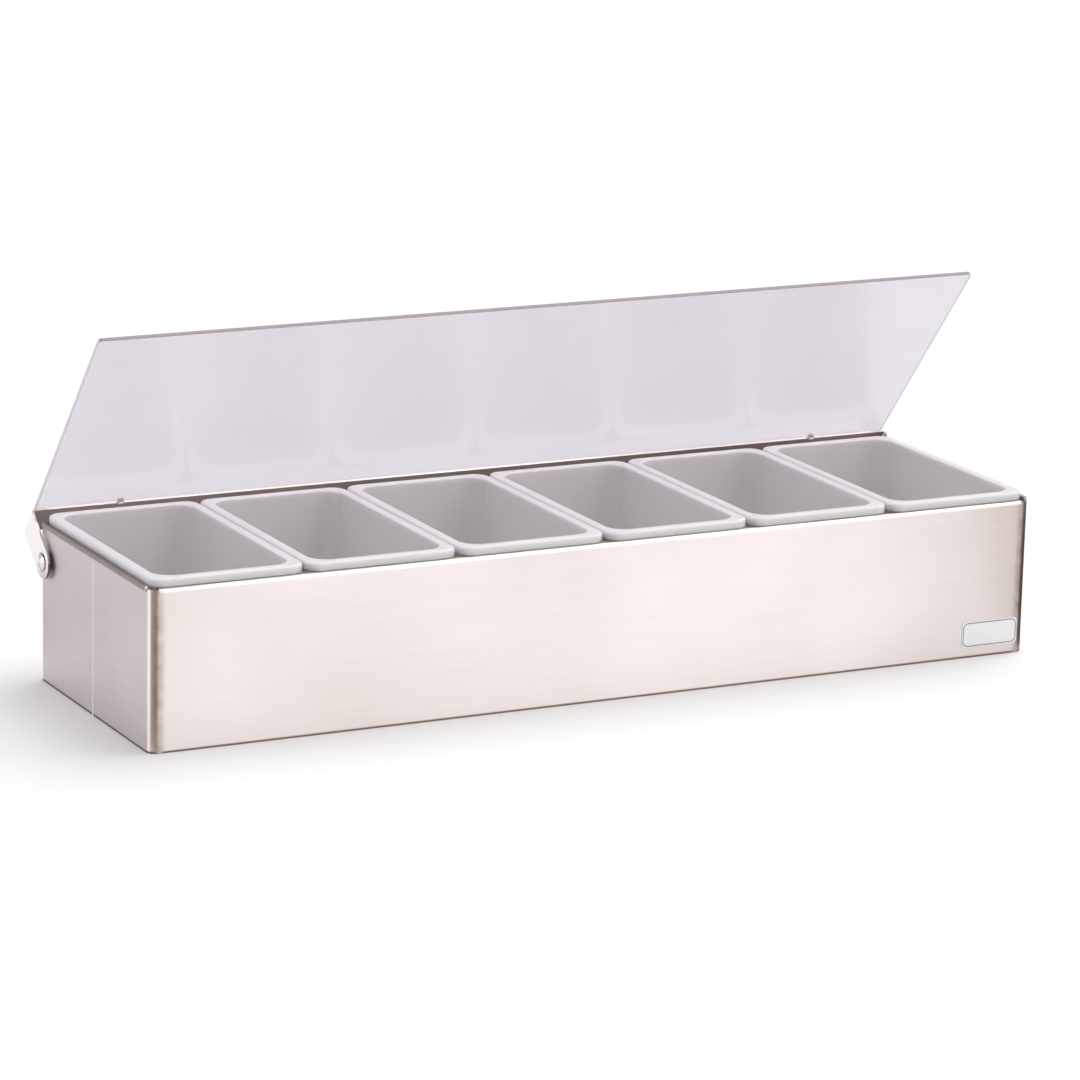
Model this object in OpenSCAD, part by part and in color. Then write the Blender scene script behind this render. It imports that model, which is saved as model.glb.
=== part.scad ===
/* [Tub] */
// Outside width of the tub, left to right
tub_w = 503; // [330:1:700]
// Outside depth of the tub, front to back
tub_d = 148; // [120:1:200]
// Height of the tub from the table to its ledges
tub_h = 83.1; // [75:0.1:120]
// Thickness of the stainless sheet
sheet_t = 0.8; // [0.6:0.1:1.2]
// Outside radius of the tub's upright corners
tub_corner_r = 5; // [4:0.5:5.5]
// Outside radius of the fold where a long wall turns into its ledge
fold_r = 2.2; // [1.6:0.1:3]
// Width of the ledge that carries the insert rims
ledge_w = 4.8; // [4:0.1:5.2]
// Depth of the trimmed corner edges below the ledges
corner_drop = 0.5; // [0.5:0.1:2]
// Height of the hem folded down outside each end wall
hem_h = 3; // [2.4:0.1:5]
// Height of the end walls' hemmed tops above the ledges
hem_rise = 1; // [0:0.1:1.5]
// Width of the weld groove in the left end wall
seam_w = 0.5; // [0.3:0.1:1]
// Depth of the weld groove
seam_depth = 0.25; // [0.1:0.05:0.4]
// Distance of the weld groove behind the middle of the end wall
seam_y = 1; // [-20:1:20]
// Height of the bottom pan's flange
pan_flange_h = 8; // [6:0.5:14]
// Outside radius of the bottom pan's fold
pan_fold_r = 2; // [1.4:0.1:3]
// Gap between the bottom pan and the walls that it is welded into
pan_gap = 0.1; // [0.05:0.05:0.3]

/* [Label] */
// Width of the blank label
label_w = 34; // [20:1:60]
// Height of the blank label
label_h = 14; // [8:1:30]
// Thickness of the blank label
label_t = 0.3; // [0.2:0.05:0.6]
// Corner radius of the blank label
label_r = 2; // [0.5:0.5:4]
// Distance from the label to the tub's right end
label_from_end = 5; // [5:0.1:30]
// Distance from the label to the table
label_from_table = 5.6; // [2:0.1:30]

/* [Inserts] */
// Gap between the rims of two neighbouring inserts
rim_gap = 1.2; // [0.8:0.1:2]
// Gap between the outermost rims and the tub's end walls
rim_end_gap = 1.1; // [0.7:0.1:2]
// Distance from a rim's front edge back to the tub's front face
rim_setback = 2; // [1.6:0.1:2.4]
// Height of the rim above the ledge
rim_h = 4.5; // [3:0.1:5]
// Width of the rim from its outer edge to the opening
rim_w = 5.3; // [5:0.1:6]
// Radius along the rim's outer top edge
rim_edge_r = 1.2; // [0.6:0.1:1.4]
// Thickness of the rim's skirt
skirt_t = 1.5; // [1.2:0.1:1.8]
// Thickness of the rim's flat top
rim_top_t = 1.7; // [1.5:0.1:2]
// Radius of the rim's outer corners, seen from above
rim_corner_r = 8; // [6:0.5:10]
// Radius of the opening's corners, seen from above
opening_corner_r = 10; // [9:0.5:12]
// Thickness of the insert's walls
insert_wall = 1.9; // [1.5:0.1:2.2]
// Height of an insert from its foot to the top of its rim
insert_h = 66; // [50:1:72]
// Draft angle of the insert's walls
draft = 3; // [1:0.25:4]
// Inside radius of the insert's bottom edges
bottom_r = 5; // [3:0.5:6]
// Radius where the opening meets the rim's top
lip_r = 0.8; // [0.4:0.1:1.2]

/* [Hinge strap] */
// Thickness of the strap
strap_t = 1.2; // [1:0.1:1.5]
// Width of the strap
strap_w = 17.4; // [15:0.2:20]
// Outside radius of the bend between the strap and its ear
strap_bend_r = 2.4; // [1.8:0.1:2.7]
// Distance from the hinge's axis to the strap's outer face
strap_reach = 27.3; // [27:0.1:32]
// Gap between an ear and the hem of the end wall
ear_gap = 0.5; // [0.4:0.1:1]
// Distance from the hinge's axis back to the tub's back face
pivot_from_back = 9.4; // [9.3:0.1:10.5]
// Distance from the hinge's axis up to the ledges
pivot_below_ledge = 18.8; // [18.5:0.1:20]
// Angle of the raised lid above the closed one
open_angle = 50.2; // [20:0.1:80]

/* [Lid] */
// Thickness of the lid
lid_t = 2.2; // [1.6:0.1:3]
// Distance that the closed lid reaches past the tub's front face
lid_overhang = 5.8; // [0:0.1:10]
// Distance from each side edge of the lid in to the tub's end face
lid_inset = 0.3; // [0:0.1:3]
// Corner radius of the lid
lid_corner_r = 2; // [1:0.5:6]
// Distance from a clip to the lid's side edge
clip_from_side = 46; // [20:1:120]
// Width of a clip
clip_w = 3; // [2:0.5:8]
// Thickness of a clip's leg
clip_t = 2; // [1.5:0.1:3]
// Thickness of a clip's barb, below the strap
barb_t = 1; // [0.6:0.1:1.2]
// Distance that a clip's barb reaches in under the strap
barb_reach = 1; // [0.5:0.1:2]

/* [Rivets] */
// Radius of a rivet's shank
rivet_r = 2.38; // [1.6:0.01:2.6]
// Radial clearance of a rivet in its holes
rivet_fit = 0.06; // [0.02:0.01:0.1]
// Radius of a rivet's domed head
head_r = 4.75; // [3.8:0.05:6]
// Height of a rivet's domed head
head_h = 1.8; // [1.2:0.1:2.4]
// Radius of a rivet's set tail
tail_r = 3.6; // [3.2:0.1:4.1]
// Height of a rivet's set tail
tail_h = 1.1; // [0.8:0.1:1.4]
// Radius of the spacer between an ear and the wall
spacer_r = 4.5; // [4:0.1:6]
// Gap between the washer behind the wall and the bend of the corner
washer_gap = 0.2; // [0.1:0.1:0.5]
// Thickness of the washer behind the wall
washer_t = 0.8; // [0.5:0.1:1.2]
// Play of an ear towards the spacer, and towards the rivet's head
ear_play = 0.15; // [0.1:0.05:0.3]

/* [Hidden] */
$fn = 96;

steel = [0.86, 0.83, 0.82];
bright_steel = [0.93, 0.92, 0.92];
dark_steel = [0.62, 0.58, 0.56];
white_plastic = [0.9, 0.89, 0.91];
lid_plastic = [0.86, 0.84, 0.9];
label_white = [0.97, 0.97, 0.97];

// How far a cutting shape runs past the surface that it cuts
past = 1;

// Rounds a worked-out length to the nearest hundredth of a millimetre
function snap(v) = round(v * 100) / 100;

// Tub: the axes of its upright corners, and the faces of its end walls
tub_cx = tub_w / 2 - tub_corner_r;
tub_cy = tub_d / 2 - tub_corner_r;
wall_inner_x = tub_w / 2 - sheet_t;
hem_x = tub_w / 2 + sheet_t;
hem_top = tub_h + hem_rise;
pan_corner_r = tub_corner_r - sheet_t - pan_gap;

// Inserts: one for each place across the tub, where their rims share the width
insert_count = 6;
rim_span = 2 * (wall_inner_x - rim_end_gap);
rim_x = snap((rim_span - (insert_count - 1) * rim_gap) / insert_count / 2);
rim_y = tub_d / 2 - rim_setback;
insert_pitch = 2 * rim_x + rim_gap;
rim_top = tub_h + rim_h;
rim_under = rim_top - rim_top_t;
wall_top = rim_top - lip_r;
insert_foot = rim_top - insert_h;
opening_cx = rim_x - rim_w - opening_corner_r;
opening_cy = rim_y - rim_w - opening_corner_r;

// Hinge: its axis, and the faces of the ears that turn on it
pivot_y = tub_d / 2 - pivot_from_back;
pivot_z = tub_h - pivot_below_ledge;
ear_inner_x = hem_x + ear_gap;
ear_outer_x = ear_inner_x + strap_t;
strap_half = strap_w / 2;
rivet_hole_r = rivet_r + rivet_fit;
washer_r = tub_cy - pivot_y - washer_gap;

// Lid: measured from the hinge's axis, with the rear clips under its back edge
lid_back = strap_half + clip_t;
lid_front = pivot_y + tub_d / 2 + lid_overhang;
lid_half_w = tub_w / 2 - lid_inset;
clip_x = lid_half_w - clip_from_side;

// Flat rectangle with round corners, centred
module rounded_rect(half_x, half_y, r) {
  square([2 * half_x, 2 * (half_y - r)], center = true);
  square([2 * (half_x - r), 2 * half_y], center = true);
  for (sx = [-1, 1], sy = [-1, 1])
    translate([sx * (half_x - r), sy * (half_y - r)])
      circle(r);
}

// Block with round upright corners on axes at cx and cy. The child is its half
// section, drawn from a corner's axis outwards and from low to high
module rounded_block(cx, cy, low, high) {
  translate([-cx, -cy, low])
    cube([2 * cx, 2 * cy, high - low]);
  for (quarter = [0:3]) {
    lengthways = quarter % 2 == 0;
    reach = lengthways ? cx : cy;
    side = lengthways ? cy : cx;
    rotate([0, 0, 90 * quarter])
      translate([reach, side, 0]) {
        rotate_extrude(angle = 90)
          children();
        rotate([90, 0, 0])
          linear_extrude(2 * side)
            children();
      }
  }
}

// Half section of a pan: its side leans out by an angle to top_r at its top,
// and turns into the bottom in a quarter circle of radius edge_r
module pan_section(top_r, edge_r, lean, low, high) {
  bend = low + edge_r;
  bend_r = snap(top_r - (high - bend) * tan(lean));
  edge_x = bend_r - edge_r;
  polygon([[0, low], [edge_x, low], [edge_x, bend], [bend_r, bend], [top_r, high], [0, high]]);
  intersection() {
    translate([edge_x, bend])
      circle(edge_r);
    translate([edge_x, low])
      square(edge_r);
  }
}

// Half section of a bar with one rounded outer top edge
module edged_section(r, edge_r, low, high) {
  translate([0, low])
    square([r, high - edge_r - low]);
  translate([0, low])
    square([r - edge_r, high - low]);
  intersection() {
    translate([r - edge_r, high - edge_r])
      circle(edge_r);
    translate([r - edge_r, high - edge_r])
      square(edge_r);
  }
}

// Section of a long wall and its ledge, drawn from the outer face inwards
module long_wall_section() {
  square([sheet_t, tub_h - fold_r]);
  intersection() {
    translate([fold_r, tub_h - fold_r])
      difference() {
        circle(fold_r);
        circle(fold_r - sheet_t);
      }
    translate([0, tub_h - fold_r])
      square(fold_r);
  }
  translate([fold_r, tub_h - sheet_t])
    square([ledge_w - fold_r, sheet_t]);
}

// Section of an end wall and its closed hem, drawn from the inner face outwards
module end_wall_section() {
  hem_low = hem_top - hem_h;
  square([sheet_t, hem_top - sheet_t]);
  translate([sheet_t, hem_low + sheet_t])
    square([sheet_t, hem_h - 2 * sheet_t]);
  intersection() {
    translate([sheet_t, hem_low + sheet_t])
      circle(sheet_t);
    translate([sheet_t, hem_low])
      square(sheet_t);
  }
  intersection() {
    translate([sheet_t, hem_top - sheet_t])
      circle(sheet_t);
    translate([0, hem_top - sheet_t])
      square([2 * sheet_t, sheet_t]);
  }
}

// The four walls are one strip of sheet, bent round the corners and welded
// where its ends meet. The long walls fold in to a ledge, the end walls rise
// just past it and fold out to a hem, and the corners are trimmed lower so that
// both folds can be made
module tub_wrapper() {
  color(steel)
    difference() {
      union() {
        for (turn = [0, 180])
          rotate([0, 0, turn]) {
            translate([-tub_cx, -tub_d / 2, 0])
              rotate([90, 0, 90])
                linear_extrude(2 * tub_cx)
                  long_wall_section();
            translate([wall_inner_x, tub_cy, 0])
              rotate([90, 0, 0])
                linear_extrude(2 * tub_cy)
                  end_wall_section();
          }
        for (sx = [0, 1], sy = [0, 1])
          mirror([sx, 0, 0])
            mirror([0, sy, 0])
              translate([tub_cx, tub_cy, 0])
                rotate_extrude(angle = 90)
                  translate([tub_corner_r - sheet_t, 0])
                    square([sheet_t, tub_h - corner_drop]);
      }
      translate([-tub_w / 2 - past, seam_y - seam_w / 2, sheet_t])
        cube([past + seam_depth, seam_w, hem_top - hem_h - sheet_t]);
      for (side = [-1, 1])
        about_pivot(side)
          translate([0, 0, wall_inner_x - past])
            cylinder(h = sheet_t + 2 * past, r = rivet_hole_r);
    }
}

// Pan with a low flange, welded into the foot of the walls
module tub_base() {
  color(dark_steel)
    difference() {
      rounded_block(tub_cx, tub_cy, 0, pan_flange_h)
        pan_section(pan_corner_r, pan_fold_r, 0, 0, pan_flange_h);
      rounded_block(tub_cx, tub_cy, sheet_t, pan_flange_h + past)
        pan_section(pan_corner_r - sheet_t, pan_fold_r - sheet_t, 0, sheet_t, pan_flange_h + past);
    }
}

// Blank label on the front face, near the right end
module label_plate() {
  color(label_white)
    translate([
      tub_w / 2 - label_from_end - label_w / 2,
      -tub_d / 2,
      label_from_table + label_h / 2
    ])
      rotate([90, 0, 0])
        linear_extrude(label_t)
          rounded_rect(label_w / 2, label_h / 2, label_r);
}

// Half section of an insert's hollow: the drafted walls, and the rounded lip
// where they meet the rim's top
module opening_section() {
  lip_x = opening_corner_r + lip_r;
  pan_section(opening_corner_r, bottom_r, draft, insert_foot + insert_wall, wall_top);
  difference() {
    translate([0, wall_top])
      square([lip_x, lip_r + past]);
    translate([lip_x, wall_top])
      circle(lip_r);
  }
}

// Moulded insert, hung by its rim. The rim is a flat top with a skirt round it,
// hollow underneath, and the skirt stands on the ledges
module insert(index) {
  skirt_r = rim_corner_r - skirt_t;
  rim_cx = rim_x - rim_corner_r;
  rim_cy = rim_y - rim_corner_r;
  color(white_plastic)
    translate([(index - (insert_count + 1) / 2) * insert_pitch, 0, 0])
      difference() {
        union() {
          difference() {
            rounded_block(rim_cx, rim_cy, tub_h, rim_top)
              edged_section(rim_corner_r, rim_edge_r, tub_h, rim_top);
            rounded_block(rim_cx, rim_cy, tub_h - past, rim_under)
              translate([0, tub_h - past])
                square([skirt_r, rim_under - tub_h + past]);
          }
          rounded_block(opening_cx, opening_cy, insert_foot, wall_top)
            pan_section(opening_corner_r + insert_wall, bottom_r + insert_wall, draft, insert_foot, wall_top);
        }
        rounded_block(opening_cx, opening_cy, insert_foot + insert_wall, rim_top + past)
          opening_section();
      }
}

// Places its children on the hinge's axis at one end, with +Z pointing outwards
// and Z measured from the middle of the tub
module about_pivot(side) {
  translate([0, pivot_y, pivot_z])
    rotate([0, 90 * side, 0])
      children();
}

// Turns its children, drawn closed round the hinge's axis, to the raised lid
module raised() {
  translate([0, pivot_y, pivot_z])
    rotate([-open_angle, 0, 0])
      children();
}

// Outline of the strap's bent shape, seen from the front
module arch_outline(half_x, top, r) {
  translate([-half_x, 0])
    square([2 * half_x, top - r]);
  translate([-half_x + r, 0])
    square([2 * (half_x - r), top]);
  for (side = [-1, 1])
    translate([side * (half_x - r), top - r])
      circle(r);
}

// Flat bar behind the tub, bent at both ends into an ear that turns on a rivet
module hinge_strap() {
  color(bright_steel)
    raised()
      difference() {
        union() {
          rotate([90, 0, 0])
            linear_extrude(strap_w, center = true)
              difference() {
                arch_outline(ear_outer_x, strap_reach, strap_bend_r);
                translate([0, -past])
                  arch_outline(ear_inner_x, strap_reach - strap_t + past, strap_bend_r - strap_t);
              }
          for (side = [-1, 1])
            translate([side * (ear_inner_x + ear_outer_x) / 2 - strap_t / 2, 0, 0])
              rotate([0, 90, 0])
                rotate([0, 0, -90])
                  rotate_extrude(angle = 180)
                    square([strap_half, strap_t]);
        }
        for (side = [-1, 1])
          rotate([0, 90 * side, 0])
            translate([0, 0, ear_inner_x - past])
              cylinder(h = strap_t + 2 * past, r = rivet_hole_r);
      }
}

// Section of a clip that hooks round one edge of the strap. The edge is at 0,
// the leg stands outside it and the barb reaches in under the strap
module clip_section() {
  polygon([
    [-clip_t, 0],
    [0, 0],
    [0, -strap_t],
    [barb_reach, -strap_t],
    [0, -strap_t - barb_t],
    [-clip_t, -strap_t - barb_t]
  ]);
}

// Flat lid that lies on the strap and is held by two pairs of clips
module lid_panel() {
  color(lid_plastic)
    raised() {
      translate([0, (lid_back - lid_front) / 2, strap_reach])
        linear_extrude(lid_t)
          rounded_rect(lid_half_w, (lid_back + lid_front) / 2, lid_corner_r);
      for (side = [-1, 1], back = [0, 1])
        mirror([0, back, 0])
          translate([side * clip_x - clip_w / 2, -strap_half, strap_reach])
            rotate([90, 0, 90])
              linear_extrude(clip_w)
                clip_section();
    }
}

// Half section of a shallow dome
module dome_section(r, h) {
  ball_r = (r * r + h * h) / (2 * h);
  intersection() {
    translate([0, h - ball_r])
      circle(ball_r);
    square([2 * r, 2 * h]);
  }
}

// Rivet that an ear turns on: domed head outside, set tail inside the tub
module pivot_rivet(side) {
  head_x = ear_outer_x + ear_play;
  tail_x = wall_inner_x - washer_t;
  color(bright_steel)
    about_pivot(side)
      rotate_extrude() {
        translate([0, tail_x])
          square([rivet_r, head_x - tail_x]);
        translate([0, head_x])
          dome_section(head_r, head_h);
        translate([0, tail_x])
          mirror([0, 1])
            dome_section(tail_r, tail_h);
      }
}

// Flat ring round a rivet, from one distance off the tub's middle to another
module rivet_ring(side, r, from_x, to_x) {
  about_pivot(side)
    rotate_extrude()
      translate([rivet_hole_r, from_x])
        square([r - rivet_hole_r, to_x - from_x]);
}

module spacer(side) {
  color(dark_steel)
    rivet_ring(side, spacer_r, tub_w / 2, ear_inner_x - ear_play);
}

module backing_washer(side) {
  color(steel)
    rivet_ring(side, washer_r, wall_inner_x - washer_t, wall_inner_x);
}

tub_wrapper();
tub_base();
label_plate();
hinge_strap();
lid_panel();
pivot_rivet(-1);  // pivot_rivet_left
pivot_rivet(1);  // pivot_rivet_right
spacer(-1);  // spacer_left
spacer(1);  // spacer_right
backing_washer(-1);  // backing_washer_left
backing_washer(1);  // backing_washer_right
insert(1);  // insert_1
insert(2);  // insert_2
insert(3);  // insert_3
insert(4);  // insert_4
insert(5);  // insert_5
insert(6);  // insert_6
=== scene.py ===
import math

import bmesh
import bpy
import numpy as np
from mathutils import Matrix, Vector


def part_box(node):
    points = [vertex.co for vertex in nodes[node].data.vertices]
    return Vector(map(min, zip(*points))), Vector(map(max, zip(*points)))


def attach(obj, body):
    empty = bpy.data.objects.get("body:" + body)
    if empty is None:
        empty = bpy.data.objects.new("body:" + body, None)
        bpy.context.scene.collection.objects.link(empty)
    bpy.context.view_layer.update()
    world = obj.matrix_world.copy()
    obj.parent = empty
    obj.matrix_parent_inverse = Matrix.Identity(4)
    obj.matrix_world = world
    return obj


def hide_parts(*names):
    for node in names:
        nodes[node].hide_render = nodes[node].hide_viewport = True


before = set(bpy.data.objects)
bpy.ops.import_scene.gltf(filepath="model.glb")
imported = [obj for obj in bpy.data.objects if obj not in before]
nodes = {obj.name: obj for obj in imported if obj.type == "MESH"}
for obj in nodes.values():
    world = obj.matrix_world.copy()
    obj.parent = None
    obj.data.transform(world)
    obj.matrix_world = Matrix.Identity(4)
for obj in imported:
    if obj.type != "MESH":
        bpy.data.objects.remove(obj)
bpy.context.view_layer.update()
scene = bpy.context.scene
scene.view_settings.view_transform = "Standard"

# The camera stands to the front left and a little above, far off with a long lens. Its place in metres, and
# its heading and tilt in degrees, were solved from the corners of the tub.
CAMERA_PLACE = (-1.1015, -2.1417, 0.6736)
CAMERA_HEADING = 27.17
CAMERA_DIP = 14.13
CAMERA_ROLL = 1.35
CAMERA_LENS = 158.8
CAMERA_SIGHT = 100.0

camera = bpy.data.objects.new("camera", bpy.data.cameras.new("camera"))
camera.data.lens = CAMERA_LENS
camera.data.clip_end = CAMERA_SIGHT
heading = Matrix.Rotation(math.radians(-CAMERA_HEADING), 4, "Z")
dip = Matrix.Rotation(math.radians(90 - CAMERA_DIP), 4, "X")
roll = Matrix.Rotation(math.radians(CAMERA_ROLL), 4, "Z")
camera.matrix_world = Matrix.Translation(CAMERA_PLACE) @ heading @ dip @ roll
scene.collection.objects.link(camera)
scene.camera = camera

# The stage is a white studio floor, painted matt, that runs out of sight in a pale room. A broad soft light
# high on the right leaves the shadow at the left end, and a weak one beside the camera fills what faces it.
FLOOR_HALF = 20.0
FLOOR_COLOUR = "#f2f2f2"
FLOOR_ROUGHNESS = 0.9
FLOOR_GLOW = 0.04
KEY_FROM = (0.9, 0.3, 1.5)
KEY_SPREAD = 55
KEY_STRENGTH = 1.65
FILL_FROM = (-0.2, -1.0, 0.2)
FILL_SPREAD = 60
FILL_STRENGTH = 0.4


def srgb(colour):
    """Linear red, green, blue and alpha of an sRGB hex colour."""
    value = np.array([int(colour[i:i + 2], 16) for i in (1, 3, 5)]) / 255
    linear = np.where(value <= 0.04045, value / 12.92, ((value + 0.055) / 1.055) ** 2.4)
    return (*linear.tolist(), 1.0)


def add(tree, kind, inputs=None, **settings):
    """Adds a node to a tree. settings are the node's own properties. inputs gives each named or numbered
    input a value, or links it where the value is another node's output. Where a Mix node mixes colours, they
    are its inputs 6 and 7 and its output 2. A Map Range node takes inputs 1 to 2 to inputs 3 to 4."""
    node = tree.nodes.new(kind)
    for name, value in settings.items():
        setattr(node, name, value)
    for name, value in (inputs or {}).items():
        if isinstance(value, bpy.types.NodeSocket):
            tree.links.new(value, node.inputs[name])
        else:
            node.inputs[name].default_value = value
    return node


def new_material(name):
    """An empty material and its node tree."""
    material = bpy.data.materials.new(name)
    material.use_nodes = True
    material.node_tree.nodes.clear()
    return material, material.node_tree


def soft_light(name, source, spread, strength):
    """Even soft light from far away. source is the way towards it, and spread is how many degrees of the
    room it fills, as a large softbox or card does. Returns the lamp."""
    light = bpy.data.lights.new(name, "SUN")
    light.angle = math.radians(spread)
    light.energy = strength
    lamp = bpy.data.objects.new(name, light)
    lamp.matrix_world = Vector(source).to_track_quat("Z", "Y").to_matrix().to_4x4()
    scene.collection.objects.link(lamp)
    return lamp


floor_paint, tree = new_material("studio_floor_paint")
paint = add(tree, "ShaderNodeBsdfPrincipled", {
    "Base Color": srgb(FLOOR_COLOUR),
    "Roughness": FLOOR_ROUGHNESS,
    "Emission Color": srgb(FLOOR_COLOUR),
    "Emission Strength": FLOOR_GLOW,
})
add(tree, "ShaderNodeOutputMaterial", {"Surface": paint.outputs["BSDF"]})
floor_mesh = bpy.data.meshes.new("studio_floor")
corners = FLOOR_HALF * np.array([[-1, -1, 0], [1, -1, 0], [1, 1, 0], [-1, 1, 0]])
floor_mesh.from_pydata(corners.tolist(), [], [(0, 1, 2, 3)])
floor = bpy.data.objects.new("studio_floor", floor_mesh)
floor_mesh.materials.append(floor_paint)
scene.collection.objects.link(floor)

soft_light("key_softbox", KEY_FROM, KEY_SPREAD, KEY_STRENGTH)
soft_light("front_fill", FILL_FROM, FILL_SPREAD, FILL_STRENGTH).visible_glossy = False

# The room is pale above and on the right, dim and bluish behind the left end, and dark beside the camera.
# Each shaded side is given as the way towards it, the cosines of the angle from that way at which its colour
# sets in and is full, and the colour.
ROOM_LIGHT = "#d9d9d9"
DIM_SIDE = ((-0.46, 0.89, 0.0), 0.2, 0.9, "#d4cfe0")
DARK_SIDE = ((-0.46, -0.89, 0.0), 0.6, 0.9, "#8a8580")

room = bpy.data.worlds.new("studio_room")
room.use_nodes = True
tree = room.node_tree
tree.nodes.clear()
way = add(tree, "ShaderNodeTexCoord").outputs["Generated"]
tone = srgb(ROOM_LIGHT)
for side, start, full, colour in (DIM_SIDE, DARK_SIDE):
    facing = add(tree, "ShaderNodeVectorMath", {0: way, 1: side}, operation="DOT_PRODUCT")
    span = {0: facing.outputs["Value"], 1: start, 2: full}
    share = add(tree, "ShaderNodeMapRange", span, interpolation_type="SMOOTHSTEP")
    shaded = {0: share.outputs[0], 6: tone, 7: srgb(colour)}
    tone = add(tree, "ShaderNodeMix", shaded, data_type="RGBA").outputs[2]
backdrop = add(tree, "ShaderNodeBackground", {"Color": tone})
add(tree, "ShaderNodeOutputWorld", {"Surface": backdrop.outputs[0]})
scene.world = room

# A card, a strip and fans of cloth stand by to be mirrored in the metal: the card in the front wall, the
# strip and the left fans in the left bend, the right fans and a small dark screen in the right bend, and the
# back fan in the back half of the left wall. Paler fans beside a dark one let its reflection fade out.
CARD_FROM = (0.95, -1.75, 0.75)
CARD_SPREAD = 60
CARD_STRENGTH = 1.5
STRIP_FROM = (-0.95, 0.2, 0.25)
STRIP_SPREAD = 36
STRIP_STRENGTH = 1.0
DARK_CLOTH = "#6a5744"
BROWN_CLOTH = "#b3a190"
MIDDLE_CLOTH = "#b3a99f"
PALE_CLOTH = "#dbd3cb"
GREY_CLOTH = "#cec8d2"

# A fan's place: its middle, how far its near and far edges are from there, and how high the far edge is
# turned up, all in metres.
LEFT_FAN = ((-0.2515, -0.074), 0.01, 0.42, 0.05)
RIGHT_FAN = ((0.2485, -0.074), 0.01, 0.42, 0.25)
RIGHT_SCREEN = ((0.2485, -0.074), 0.01, 0.022, 0.085)
BACK_FAN = ((-0.26, 0.08), 0.05, 0.19, 0.006)
FAN_STEPS = 24
CLOTH_LIFT = 0.0003

soft_light("mirrored_card", CARD_FROM, CARD_SPREAD, CARD_STRENGTH).visible_diffuse = False
soft_light("mirrored_strip", STRIP_FROM, STRIP_SPREAD, STRIP_STRENGTH).visible_diffuse = False


def flag(name, colour, arc_ends, at, near, far, height):
    """A fan of matt cloth on the floor, from one to the other of arc_ends in degrees. Its points lie at the
    distances near and far from the point at, along each angle's cosine and sine, and the far ones a second
    time at the height, where the cloth stands up. Only reflections show it."""
    material, tree = new_material(f"{name}_cloth")
    cloth = add(tree, "ShaderNodeBsdfDiffuse", {"Color": srgb(colour)})
    add(tree, "ShaderNodeOutputMaterial", {"Surface": cloth.outputs[0]})
    turn = np.radians(np.linspace(*arc_ends, FAN_STEPS + 1))
    reach = np.array([near, far, far])[:, None]
    x, y = at[0] + reach * np.cos(turn), at[1] + reach * np.sin(turn)
    z = np.broadcast_to(np.array([CLOTH_LIFT, CLOTH_LIFT, height])[:, None], x.shape)
    index = np.arange(x.size).reshape(x.shape)
    quads = np.stack([index[:-1, :-1], index[1:, :-1], index[1:, 1:], index[:-1, 1:]], axis=-1)
    points = np.stack([x, y, z], axis=-1).reshape(-1, 3)
    mesh = bpy.data.meshes.new(name)
    mesh.from_pydata(points.tolist(), [], quads.reshape(-1, 4).tolist())
    mesh.materials.append(material)
    piece = bpy.data.objects.new(name, mesh)
    for rays in ("camera", "diffuse", "transmission", "volume_scatter", "shadow"):
        setattr(piece, f"visible_{rays}", False)
    scene.collection.objects.link(piece)


flag("left_flag", BROWN_CLOTH, (184, 270), *LEFT_FAN)
flag("left_flag_middle", MIDDLE_CLOTH, (270, 284), *LEFT_FAN)
flag("left_flag_edge", PALE_CLOTH, (284, 296), *LEFT_FAN)
flag("right_flag_edge", PALE_CLOTH, (294, 306), *RIGHT_FAN)
flag("right_flag_middle", MIDDLE_CLOTH, (306, 313), *RIGHT_FAN)
flag("right_flag", DARK_CLOTH, (313, 423), *RIGHT_SCREEN)
flag("back_flag", GREY_CLOTH, (90, 140), *BACK_FAN)

# The walls are one strip of 0.8 mm stainless sheet with a number 4 finish, bent round the corners, folded in
# along the long sides, hemmed outwards along the ends and welded in the left end. The brushing runs
# lengthways round the strip.
SHEET = 0.8
SHEET_EDGE = 0.15
BEND_RADIUS = 5.0
TOP_BAND = 2.0
STEEL_LIGHT = "#dbd4d2"
STEEL_DARK = "#d0c8c5"
STEEL_ROUGHNESS = 0.42
# Painted shade and dark reflection on the hems and ledges: a darker brown copy of the wall steel.
HEM_SHADE_LIGHT = "#a3968d"
HEM_SHADE_DARK = "#8f8178"
HEM_ROUGHNESS = 0.4
# Painted shade along the foot of the walls, where they meet the floor.
FOOT_SHADE = "#755f51"
FOOT_HEIGHT = 1.4
SEAM_BRIGHT = "#fffafd"
SEAM_ROUGHNESS = 0.6
SEAM_AT = 1.0
SEAM_WIDTH = 1.4
# Painted dark reflection beside the upright bends, in mottled patches.
BEND_SHADE = "#aea29b"
BEND_SHADE_REACH = 4.0
BEND_SHADE_PATCH = 6.0
BEND_SHADE_LEAST = 0.5
BEND_SHADE_DEPTHS = (1.2, 0.2)

# How any brushed steel here looks: the size and share of soft clouds in its tone, what its streaks do to its
# roughness and relief, and the quarter turn by which it smears reflections. A noise keeps mostly between
# NOISE_LOW and NOISE_HIGH.
CLOUD_SIZE = 111.0
CLOUD_SHARE = 0.7
BRUSH_PLAY = 0.03
BRUSH_RELIEF = 0.04
BRUSH_DEPTH = 0.1
SMEAR_TURN = 0.25
NOISE_LOW = 0.35
NOISE_HIGH = 0.65

# Sizes are in millimetres, which MM turns into metres, and angles in degrees.
MM = 0.001
MERGED = 0.002
SAME_FACE = 0.3
ROUNDED_FROM = 30
ROUNDED_STEPS = 2
BROAD_FACES = 80


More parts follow.
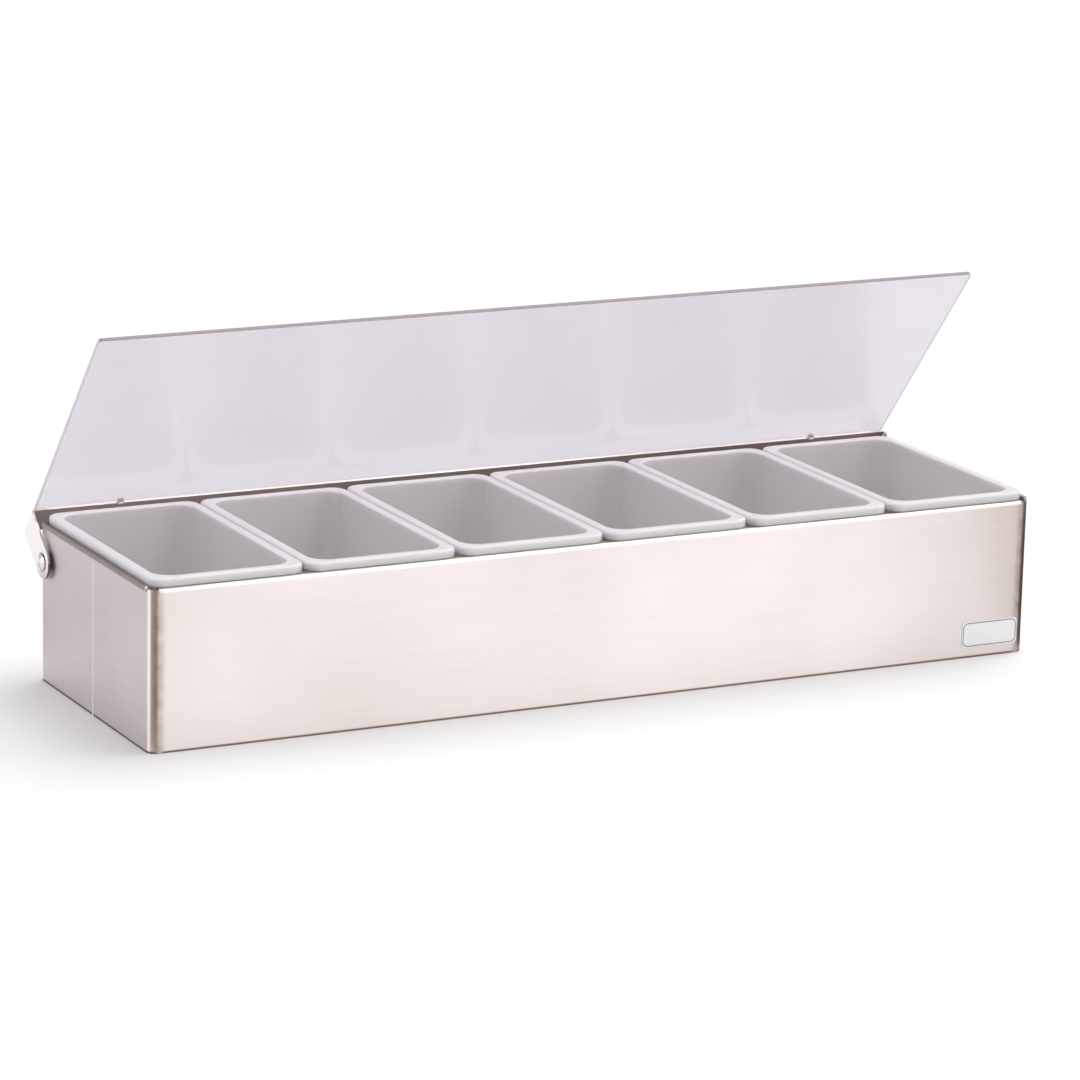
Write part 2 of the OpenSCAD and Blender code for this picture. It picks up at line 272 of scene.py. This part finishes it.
def brushed_steel(name, light, dark, roughness, grain, turn=0.0, foot=0.0, smear=0.75, painted_shade=None):
    """Brushed stainless steel. grain gives the spacing of the brush lines in millimetres along X, Y and Z,
    turned about X by turn degrees: long in the directions of the brushing, short across it. The eye sees
    fine streaks of light and dark, and reflections drawn out across them by the share smear. The lowest foot
    millimetres are painted darker, as painted shade where the wall meets the floor. painted_shade is a
    function that adds its own nodes and returns how much painted shade lies at each place, and its colour."""
    material, tree = new_material(name)
    there = add(tree, "ShaderNodeTexCoord").outputs["Object"]
    turned = {"Vector": there, "Angle": math.radians(turn)}
    place = add(tree, "ShaderNodeVectorRotate", turned, rotation_type="X_AXIS").outputs[0]
    lines = {"Vector": place, "Scale": [1 / (MM * step) for step in grain]}
    stretched = add(tree, "ShaderNodeMapping", lines).outputs[0]
    streaks = add(tree, "ShaderNodeTexNoise", {"Vector": stretched, "Scale": 1.0, "Detail": 3.0}).outputs[0]
    patches = {"Vector": place, "Scale": 1 / (CLOUD_SIZE * MM), "Detail": 2.0}
    cloud = add(tree, "ShaderNodeTexNoise", patches).outputs[0]
    tone = add(tree, "ShaderNodeMix", {0: CLOUD_SHARE, 2: streaks, 3: cloud}).outputs[0]
    share = add(tree, "ShaderNodeMapRange", {0: tone, 1: NOISE_LOW, 2: NOISE_HIGH}).outputs[0]
    steel = {0: share, 6: srgb(dark), 7: srgb(light)}
    colour = add(tree, "ShaderNodeMix", steel, data_type="RGBA").outputs[2]
    # Painted shade: the lowest foot millimetres darken towards FOOT_SHADE, where the wall meets the floor.
    if foot:
        height = add(tree, "ShaderNodeSeparateXYZ", {0: place}).outputs["Z"]
        low = add(tree, "ShaderNodeMapRange", {0: height, 1: foot * MM, 2: foot / 2 * MM}).outputs[0]
        foot_shade = {0: low, 6: colour, 7: srgb(FOOT_SHADE)}
        colour = add(tree, "ShaderNodeMix", foot_shade, data_type="RGBA").outputs[2]
    # Painted shade or dark reflection, laid on by the given function.
    if painted_shade:
        share, tint = painted_shade(tree, there)
        colour = add(tree, "ShaderNodeMix", {0: share, 6: colour, 7: tint}, data_type="RGBA").outputs[2]
    play = {0: streaks, 3: roughness - BRUSH_PLAY, 4: roughness + BRUSH_PLAY}
    relief = {"Height": streaks, "Strength": BRUSH_RELIEF, "Distance": BRUSH_DEPTH * MM}
    metal = add(tree, "ShaderNodeBsdfPrincipled", {
        "Base Color": colour,
        "Metallic": 1.0,
        "Roughness": add(tree, "ShaderNodeMapRange", play).outputs[0],
        "Anisotropic": smear,
        "Anisotropic Rotation": SMEAR_TURN,
        "Normal": add(tree, "ShaderNodeBump", relief).outputs[0],
    })
    add(tree, "ShaderNodeOutputMaterial", {"Surface": metal.outputs["BSDF"]})
    return material


def beside_bends(tree, there):
    """How much painted dark reflection lies beside the tub's upright bends: all of it at the bend and none
    BEND_SHADE_REACH millimetres along the front or the back wall, in mottled patches BEND_SHADE_PATCH
    millimetres wide. It sets in between the two BEND_SHADE_DEPTHS under the wall's face. The bends begin
    inside the hems' outer faces by a sheet's thickness and the bend's radius."""
    side_x, side_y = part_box("tub_wrapper")[1][:2]
    bend_x = side_x - (SHEET + BEND_RADIUS) * MM
    size = add(tree, "ShaderNodeVectorMath", {0: there}, operation="ABSOLUTE").outputs[0]
    x, y, _ = add(tree, "ShaderNodeSeparateXYZ", {0: size}).outputs
    along = {0: x, 1: bend_x - BEND_SHADE_REACH * MM, 2: bend_x}
    near = add(tree, "ShaderNodeMapRange", along, interpolation_type="SMOOTHSTEP").outputs[0]
    deep, shallow = (side_y - depth * MM for depth in BEND_SHADE_DEPTHS)
    outside = add(tree, "ShaderNodeMapRange", {0: y, 1: deep, 2: shallow, 4: near}).outputs[0]
    patches = {"Vector": there, "Scale": 1 / (BEND_SHADE_PATCH * MM), "Detail": 2.0}
    cloud = add(tree, "ShaderNodeTexNoise", patches).outputs[0]
    span = {0: cloud, 1: NOISE_LOW, 2: NOISE_HIGH, 3: BEND_SHADE_LEAST, 4: 1.0}
    patch = add(tree, "ShaderNodeMapRange", span).outputs[0]
    share = add(tree, "ShaderNodeMath", {0: outside, 1: patch}, operation="MULTIPLY").outputs[0]
    return share, srgb(BEND_SHADE)


def softened(name, node, edge, material, body, cuts=()):
    """A piece that stands for a CAD node: points nearer than MERGED millimetres are merged, faces that meet
    within SAME_FACE degrees joined up, sharp edges rounded to a radius of edge millimetres, and curves shaded
    smooth. cuts are places along Y at which its faces are divided, so that a strip of them can have its own
    finish."""
    shape = bmesh.new()
    shape.from_mesh(nodes[node].data)
    bmesh.ops.remove_doubles(shape, verts=shape.verts, dist=MERGED * MM)
    flat = math.radians(SAME_FACE)
    bmesh.ops.dissolve_limit(shape, angle_limit=flat, verts=shape.verts, edges=shape.edges)
    for cut in cuts:
        all_of_it = [*shape.verts, *shape.edges, *shape.faces]
        bmesh.ops.bisect_plane(shape, geom=all_of_it, dist=0, plane_co=(0, cut, 0), plane_no=(0, 1, 0))
    mesh = bpy.data.meshes.new(name)
    shape.to_mesh(mesh)
    shape.free()
    if "custom_normal" in mesh.attributes:
        mesh.attributes.remove(mesh.attributes["custom_normal"])
    return finished(name, mesh, edge, material, body, node)


def face_ways(piece):
    """Normals and middles of a piece's faces, as two arrays."""
    faces = piece.data.polygons
    normal, middle = np.empty(len(faces) * 3), np.empty(len(faces) * 3)
    faces.foreach_get("normal", normal)
    faces.foreach_get("center", middle)
    return normal.reshape(-1, 3), middle.reshape(-1, 3)


def refaced(piece, material, chosen):
    """Gives the chosen faces of a piece one more material."""
    piece.data.materials.append(material)
    slots = np.empty(len(chosen), np.int32)
    piece.data.polygons.foreach_get("material_index", slots)
    added = len(piece.data.materials) - 1
    piece.data.polygons.foreach_set("material_index", np.where(chosen, added, slots))


def finished(name, mesh, edge, material, body, node):
    """Makes a mesh a piece of the object: it rides on a body and stands for a CAD node. Edges sharper than
    ROUNDED_FROM degrees are rounded to a radius of edge millimetres, and what curves is shaded smooth, with
    the broad faces kept flat."""
    piece = bpy.data.objects.new(name, mesh)
    scene.collection.objects.link(piece)
    mesh.polygons.foreach_set("use_smooth", np.ones(len(mesh.polygons), bool))
    mesh.materials.clear()
    mesh.materials.append(material)
    if edge:
        bevel = piece.modifiers.new("rounded_edges", "BEVEL")
        bevel.width = edge * MM
        bevel.segments = ROUNDED_STEPS
        bevel.limit_method = "ANGLE"
        bevel.angle_limit = math.radians(ROUNDED_FROM)
    normals = piece.modifiers.new("smooth_shading", "WEIGHTED_NORMAL")
    normals.weight = BROAD_FACES
    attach(piece, body)
    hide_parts(node)
    return piece


# The brush lines are drawn 0.6 mm apart, about six times as coarse as real ones, so that they show. Hems and
# ledges are painted a darker brown, as painted shade and dark reflection, the weld is ground pale, and a
# painted dark reflection lies beside the upright bends.
WALL_GRAIN = (60.0, 60.0, 0.6)
SEAM_GRAIN = (1.0, 1.0, 1.0)
tub_steel = brushed_steel("number_4_stainless", STEEL_LIGHT, STEEL_DARK, STEEL_ROUGHNESS, WALL_GRAIN,
                          foot=FOOT_HEIGHT, painted_shade=beside_bends)
shaded_hem_steel = brushed_steel("shaded_hem_stainless", HEM_SHADE_LIGHT, HEM_SHADE_DARK, HEM_ROUGHNESS, WALL_GRAIN)
seam_steel = brushed_steel("ground_weld", SEAM_BRIGHT, SEAM_BRIGHT, SEAM_ROUGHNESS, SEAM_GRAIN)
seam_sides = [(SEAM_AT + side * SEAM_WIDTH / 2) * MM for side in (-1, 1)]
tub_walls = softened("tub_walls", "tub_wrapper", SHEET_EDGE, tub_steel, "tub",
                     seam_sides)
normal, middle = face_ways(tub_walls)
end_x, _, top_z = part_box("tub_wrapper")[1]

# The ledges are the level faces near the top: those whose normal's height is more than LEVEL.
LEVEL = 0.9
at_top = middle[:, 2] > top_z - TOP_BAND * MM
hem = np.abs(middle[:, 0]) > end_x - SHEET / 2 * MM
ledge = at_top & (normal[:, 2] > LEVEL)
# The hems and ledges get the painted shade.
refaced(tub_walls, shaded_hem_steel, hem | ledge)

# The left end wall's outer face lies one sheet inside the hem's, and its inner face two.
left_face = (middle[:, 0] < -end_x + 1.5 * SHEET * MM) & ~hem & ~at_top
in_strip = np.abs(middle[:, 1] - SEAM_AT * MM) < SEAM_WIDTH / 2 * MM
refaced(tub_walls, seam_steel, in_strip & left_face)

# The bottom is a pan of the same sheet with a low flange all round, spot-welded in behind the foot of the
# walls. Its top shows only under the inserts.
softened("bottom_pan", "tub_base", SHEET_EDGE, tub_steel, "tub")

# The label is thin white plastic stock with a dark line printed inside its edge, stuck to the front near its
# right end. It carries no words.
LABEL_WHITE = "#f7f7f8"
LABEL_LINE = "#6f6d78"
LABEL_ROUGHNESS = 0.35
LABEL_LINE_INSET = 0.8
LABEL_LINE_WIDTH = 0.5
LABEL_CORNER = 3.6
LABEL_EDGE = 0.1


def printed_label(name, low, high):
    """White plastic with a line printed inside its edge, for a label between the corners low and high. The
    line is where the distance from a rectangle, LABEL_CORNER millimetres smaller all round than the label, is
    LABEL_CORNER less the line's inset. That draws it with round corners."""
    material, tree = new_material(name)
    place = add(tree, "ShaderNodeTexCoord").outputs["Object"]
    middle = [(a + b) / 2 for a, b in zip(low, high)]
    half_x, _, half_z = ((b - a) / 2 - LABEL_CORNER * MM for a, b in zip(low, high))
    reach = place
    for operation, other in (("SUBTRACT", middle), ("MULTIPLY", (1, 0, 1)), ("ABSOLUTE", (0, 0, 0)),
                             ("SUBTRACT", (half_x, 0, half_z)), ("MAXIMUM", (0, 0, 0))):
        reach = add(tree, "ShaderNodeVectorMath", {0: reach, 1: other}, operation=operation).outputs[0]
    distance = add(tree, "ShaderNodeVectorMath", {0: reach}, operation="LENGTH").outputs["Value"]
    line_at = (LABEL_CORNER - LABEL_LINE_INSET) * MM
    past_line = add(tree, "ShaderNodeMath", {0: distance, 1: line_at}, operation="SUBTRACT")
    from_line = add(tree, "ShaderNodeMath", {0: past_line.outputs[0]}, operation="ABSOLUTE").outputs[0]
    half_line = LABEL_LINE_WIDTH / 2 * MM
    printed = add(tree, "ShaderNodeMath", {0: from_line, 1: half_line}, operation="LESS_THAN").outputs[0]
    inks = {0: printed, 6: srgb(LABEL_WHITE), 7: srgb(LABEL_LINE)}
    ink = add(tree, "ShaderNodeMix", inks, data_type="RGBA").outputs[2]
    stock = add(tree, "ShaderNodeBsdfPrincipled", {"Base Color": ink, "Roughness": LABEL_ROUGHNESS})
    add(tree, "ShaderNodeOutputMaterial", {"Surface": stock.outputs["BSDF"]})
    return material


label_stock = printed_label("printed_label_stock", *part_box("label_plate"))
softened("blank_label", "label_plate", LABEL_EDGE, label_stock, "tub")

# The inserts are moulded in white polypropylene, slightly see-through, with drafted walls, rounded bottom
# edges, and a flat rim with a hollow skirt that stands on the ledges. They lift straight out.
INSERT_COUNT = 6
INSERT_WHITE = "#e5e1e2"
INSERT_ROUGHNESS = 0.36
INSERT_PLAY = 0.05
INSERT_GRAIN = 2.5
INSERT_RELIEF = 0.05
INSERT_DEPTH = 0.2
POLYPROPYLENE_IOR = 1.49
SOAK = 4.0
SOAK_COLOURS = (1.0, 0.9, 0.9)
RIM_HEIGHT = 4.5
RIM_WIDTH = 5.3
RIM_CORNER = 8.0
RIM_EDGE = 1.2
RIM_TOP = 1.7
SKIRT = 1.5
SKIRT_EDGE = 0.3
OPENING_CORNER = 10.0
LIP = 0.8
WALL = 1.9
BOTTOM_EDGE = 5.0
DRAFT = 3.0
CORNER_STEPS = 14
SHARP_FROM = 35


def arc(middle_r, middle_z, radius, start, end, steps=6):
    """Points of an arc: the middle plus the radius times the cosine and sine of angles from start to end."""
    turn = np.radians(np.linspace(start, end, steps + 1))
    return np.column_stack([middle_r + radius * np.cos(turn), middle_z + radius * np.sin(turn)])


def tray_section(foot, top):
    """Outline of the insert's wall and rim, from the middle of its underside out, up, over the rim and down
    to the middle of its floor. Each row holds the inset of the corner axis from the rim's edge, the distance
    from that axis, and the height, in millimetres. A wall leans in by its height times the tangent of the
    draft angle."""
    opening_axis = RIM_WIDTH + OPENING_CORNER
    slope = math.tan(math.radians(DRAFT))
    wall_top = top - LIP
    rim_under = top - RIM_TOP
    ledge = top - RIM_HEIGHT
    floor_z = foot + WALL
    outer_r = OPENING_CORNER + WALL
    outer_edge = BOTTOM_EDGE + WALL
    outer_foot = outer_r - (wall_top - foot - outer_edge) * slope
    inner_foot = OPENING_CORNER - (wall_top - floor_z - BOTTOM_EDGE) * slope
    skirt_r = RIM_CORNER - SKIRT
    skirt_z = ledge + SKIRT_EDGE
    outside = np.vstack([
        arc(outer_foot - outer_edge, foot + outer_edge, outer_edge, -90, 0),
        [[outer_r - (wall_top - rim_under) * slope, rim_under]],
    ])
    rim = np.vstack([
        [[skirt_r, rim_under], [skirt_r, skirt_z]],
        arc(skirt_r + SKIRT_EDGE, skirt_z, SKIRT_EDGE, 180, 270, 2),
        arc(RIM_CORNER - SKIRT_EDGE, skirt_z, SKIRT_EDGE, -90, 0, 2),
        arc(RIM_CORNER - RIM_EDGE, top - RIM_EDGE, RIM_EDGE, 0, 90),
    ])
    inside = np.vstack([
        arc(OPENING_CORNER + LIP, top - LIP, LIP, 90, 180),
        arc(inner_foot - BOTTOM_EDGE, floor_z + BOTTOM_EDGE, BOTTOM_EDGE, 0, -90),
    ])
    axes = [opening_axis] * len(outside) + [RIM_CORNER] * len(rim) + [opening_axis] * len(inside)
    return np.column_stack([axes, np.vstack([outside, rim, inside])])


def tray_mesh(name, low, high):
    """Mesh of an insert between the corners low and high. Each row of the section becomes a rectangle with
    round corners: the corner axes lie the row's inset inside the rim, and the corners are quarter circles
    about them, whose points are the row's distance times the cosine and sine of the angle."""
    section = tray_section(low[2] / MM, high[2] / MM)
    turn = np.radians(np.linspace(0, 90, CORNER_STEPS + 1) + 90 * np.arange(4)[:, None]).ravel()
    side_x = np.repeat([1, -1, -1, 1], CORNER_STEPS + 1)
    side_y = np.repeat([1, 1, -1, -1], CORNER_STEPS + 1)
    inset, reach, height = (section[:, i:i + 1] * MM for i in range(3))
    half_x, half_y = (high[0] - low[0]) / 2, (high[1] - low[1]) / 2
    x = (low[0] + high[0]) / 2 + side_x * (half_x - inset) + reach * np.cos(turn)
    y = (low[1] + high[1]) / 2 + side_y * (half_y - inset) + reach * np.sin(turn)
    z = np.broadcast_to(height, x.shape)
    index = np.arange(x.size).reshape(x.shape)
    after = np.roll(index, -1, axis=1)
    quads = np.stack([index[:-1], after[:-1], after[1:], index[1:]], axis=-1).reshape(-1, 4)
    faces = quads.tolist() + [index[0, ::-1].tolist(), index[-1].tolist()]
    points = np.stack([x, y, z], axis=-1).reshape(-1, 3)
    mesh = bpy.data.meshes.new(name)
    mesh.from_pydata(points.tolist(), [], faces)
    mesh.set_sharp_from_angle(angle=math.radians(SHARP_FROM))
    return mesh


def moulded_plastic(name, colour):
    """White polypropylene from a polished mould. Light soaks in by SOAK millimetres, so corners glow softly,
    and a faint unevenness, INSERT_GRAIN millimetres wide, breaks up the gloss."""
    material, tree = new_material(name)
    place = add(tree, "ShaderNodeTexCoord").outputs["Object"]
    patches = {"Vector": place, "Scale": 1 / (INSERT_GRAIN * MM), "Detail": 2.0}
    grain = add(tree, "ShaderNodeTexNoise", patches).outputs[0]
    play = {0: grain, 3: INSERT_ROUGHNESS - INSERT_PLAY, 4: INSERT_ROUGHNESS + INSERT_PLAY}
    relief = {"Height": grain, "Strength": INSERT_RELIEF, "Distance": INSERT_DEPTH * MM}
    plastic = add(tree, "ShaderNodeBsdfPrincipled", {
        "Base Color": srgb(colour),
        "Roughness": add(tree, "ShaderNodeMapRange", play).outputs[0],
        "IOR": POLYPROPYLENE_IOR,
        "Subsurface Weight": 1.0,
        "Subsurface Radius": SOAK_COLOURS,
        "Subsurface Scale": SOAK * MM,
        "Normal": add(tree, "ShaderNodeBump", relief).outputs[0],
    })
    add(tree, "ShaderNodeOutputMaterial", {"Surface": plastic.outputs["BSDF"]})
    return material


insert_plastic = moulded_plastic("white_polypropylene", INSERT_WHITE)
for number in range(1, INSERT_COUNT + 1):
    node = f"insert_{number}"
    tray = tray_mesh(f"tray_{number}_moulding", *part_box(node))
    finished(f"tray_{number}_moulding", tray, 0, insert_plastic, f"tray_{number}", node)

# The strap is a flat stainless bar across the back, bent at both ends into an ear, and carries the lid. Its
# underside is painted a dull dark brown, as painted shade and dark reflection from the space beneath it, its
# front edge is brushed as the walls are, and its ears are buffed bright, with painted shade in a ring round
# the rivets.
STRAP_LIGHT = "#f5edef"
STRAP_DARK = "#ece4e5"
STRAP_ROUGHNESS = 0.3
STRAP_SMEAR = 0.2
STRAP_GRAIN = (30.0, 0.5, 30.0)
STRAP_EDGE = 0.25
LID_ANGLE = 50.2
# Painted shade and dark reflection on the strap's underside.
UNDERSIDE_SHADE_LIGHT = "#8d8079"
UNDERSIDE_SHADE_DARK = "#776a63"
UNDERSIDE_ROUGHNESS = 0.45
EAR_LIGHT = "#f1ebe9"
EAR_ROUGHNESS = 0.17
EAR_SKIN = 0.1
# Painted shade in a ring round the rivet heads.
RING_SHADE = "#4a332c"
RING_WIDTH = 0.7
RING_PATCH = 3.0
RING_NOISE = (0.4, 0.6)
RING_LEAST = 0.4
HEAD_RADIUS = 4.75


def round_rivets(tree, there):
    """How much painted shade lies in a ring round the edge of the rivets' heads, where head meets ear: all of
    it within half of RING_WIDTH of that edge, none past RING_WIDTH, in patches RING_PATCH millimetres wide.
    The distance from the edge is the distance from the rivets' axis in the YZ plane less the head's radius."""
    axis = [(a + b) / 2 for a, b in zip(*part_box("pivot_rivet_left"))]
    reach = there
    for operation, other in (("SUBTRACT", axis), ("MULTIPLY", (0, 1, 1))):
        reach = add(tree, "ShaderNodeVectorMath", {0: reach, 1: other}, operation=operation).outputs[0]
    distance = add(tree, "ShaderNodeVectorMath", {0: reach}, operation="LENGTH").outputs["Value"]
    past_edge = add(tree, "ShaderNodeMath", {0: distance, 1: HEAD_RADIUS * MM}, operation="SUBTRACT")
    from_edge = add(tree, "ShaderNodeMath", {0: past_edge.outputs[0]}, operation="ABSOLUTE").outputs[0]
    fading = {0: from_edge, 1: RING_WIDTH * MM, 2: RING_WIDTH / 2 * MM}
    ring = add(tree, "ShaderNodeMapRange", fading).outputs[0]
    patches = {"Vector": there, "Scale": 1 / (RING_PATCH * MM), "Detail": 1.0}
    cloud = add(tree, "ShaderNodeTexNoise", patches).outputs[0]
    span = {0: cloud, 1: RING_NOISE[0], 2: RING_NOISE[1], 3: RING_LEAST, 4: 1.0}
    patch = add(tree, "ShaderNodeMapRange", span).outputs[0]
    share = add(tree, "ShaderNodeMath", {0: ring, 1: patch}, operation="MULTIPLY").outputs[0]
    return share, srgb(RING_SHADE)


# The strap's brush lines are drawn 0.5 mm apart, about five times as coarse as real ones.
strap_steel = brushed_steel("fine_brushed_stainless", STRAP_LIGHT, STRAP_DARK, STRAP_ROUGHNESS, STRAP_GRAIN,
                            LID_ANGLE, smear=STRAP_SMEAR)
shaded_underside_steel = brushed_steel("shaded_underside_stainless", UNDERSIDE_SHADE_LIGHT, UNDERSIDE_SHADE_DARK, UNDERSIDE_ROUGHNESS, STRAP_GRAIN,
                           LID_ANGLE)
# The ears carry the ring of painted shade round the rivet heads.
ear_steel = brushed_steel("buffed_stainless", EAR_LIGHT, EAR_LIGHT, EAR_ROUGHNESS, STRAP_GRAIN, LID_ANGLE,
                          smear=0.0, painted_shade=round_rivets)
strap = softened("lid_strap", "hinge_strap", STRAP_EDGE, strap_steel, "lid")

# On the closed lid and its strap upward is up and outward is to the front. The raised lid's angle turns both
# ways back. A face looks a way where its normal's cosine with it is more than TOWARDS.
TOWARDS = 0.7
lean = math.radians(LID_ANGLE)
upward = (0, math.sin(lean), math.cos(lean))
outward = (0, -math.cos(lean), math.sin(lean))
normal, middle = face_ways(strap)
ear_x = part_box("hinge_strap")[1][0]
# The underside gets the painted shade.
refaced(strap, shaded_underside_steel, normal @ upward < -TOWARDS)
refaced(strap, tub_steel, normal @ outward > TOWARDS)
refaced(strap, ear_steel, np.abs(middle[:, 0]) > ear_x - EAR_SKIN * MM)

# The lid is one flat sheet of polycarbonate, clear when new and milky with use, with four small clips that
# hook round the strap. Its edges are sawn, and the front one is painted darker than the ends, as painted
# shade.
LID_TINT = "#eae6ec"
LID_CLEAR = 0.92
LID_ROUGHNESS = 0.2
LID_PLAY = 0.06
LID_SHADE = "#e6e3e6"
LID_HAZE = 71.4
# Painted shade on the lid's front sawn edge.
SAWN_SHADE_TINT = "#9c8d92"
SAWN_CLEAR = 0.1
SAWN_ROUGHNESS = 0.4
LID_END_TINT = "#e6dfe6"
LID_END_CLEAR = 0.3
POLYCARBONATE_IOR = 1.58
LID_EDGE = 0.3


def milky_sheet(name, colour, clear, rough):
    """Polycarbonate sheet, clear to a share and hazed for the rest by fine wiping scratches, in soft patches
    LID_HAZE millimetres wide. Light on its way to what stands behind passes it, as it does the real sheet."""
    material, tree = new_material(name)
    place = add(tree, "ShaderNodeTexCoord").outputs["Object"]
    patches = {"Vector": place, "Scale": 1 / (LID_HAZE * MM), "Detail": 4.0}
    haze = add(tree, "ShaderNodeTexNoise", patches).outputs[0]
    gloss = add(tree, "ShaderNodeMapRange", {0: haze, 3: rough - LID_PLAY, 4: rough + LID_PLAY})
    sheet = add(tree, "ShaderNodeBsdfPrincipled", {
        "Base Color": srgb(colour),
        "Roughness": gloss.outputs[0],
        "IOR": POLYCARBONATE_IOR,
        "Transmission Weight": clear,
    })
    passed = add(tree, "ShaderNodeBsdfTransparent", {"Color": srgb(LID_SHADE)})
    shadow = add(tree, "ShaderNodeLightPath").outputs["Is Shadow Ray"]
    both = add(tree, "ShaderNodeMixShader", {0: shadow, 1: sheet.outputs["BSDF"], 2: passed.outputs["BSDF"]})
    add(tree, "ShaderNodeOutputMaterial", {"Surface": both.outputs[0]})
    return material


lid_sheet = milky_sheet("milky_polycarbonate", LID_TINT, LID_CLEAR, LID_ROUGHNESS)
shaded_sawn_edge = milky_sheet("shaded_sawn_polycarbonate", SAWN_SHADE_TINT, SAWN_CLEAR, SAWN_ROUGHNESS)
end_edge = milky_sheet("sawn_polycarbonate_ends", LID_END_TINT, LID_END_CLEAR, SAWN_ROUGHNESS)
lid = softened("clear_lid", "lid_panel", LID_EDGE, lid_sheet, "lid")
normal, middle = face_ways(lid)
# The front edge gets the painted shade.
refaced(lid, shaded_sawn_edge, normal @ outward > TOWARDS)
refaced(lid, end_edge, np.abs(normal[:, 0]) > TOWARDS)

# Domed rivets hold the ears, with a spacer outside the wall and a washer inside it. All are plain steel,
# smooth from the rivet set, with the ring of painted shade round the heads' edges.
RIVET_LIGHT = "#ece4e5"
RIVET_DARK = "#e2dadb"
RIVET_ROUGHNESS = 0.2
RIVET_GRAIN = (6.0, 6.0, 6.0)
RIVET_EDGE = 0.12
WASHER_EDGE = 0.1
rivet_steel = brushed_steel("set_rivet_steel", RIVET_LIGHT, RIVET_DARK, RIVET_ROUGHNESS, RIVET_GRAIN,
                            smear=0.0, painted_shade=round_rivets)
for end in ("left", "right"):
    softened(f"domed_rivet_{end}", f"pivot_rivet_{end}", RIVET_EDGE, rivet_steel, "tub")
    softened(f"rivet_spacer_{end}", f"spacer_{end}", RIVET_EDGE, rivet_steel, "tub")
    softened(f"rivet_washer_{end}", f"backing_washer_{end}", WASHER_EDGE, rivet_steel, "tub")
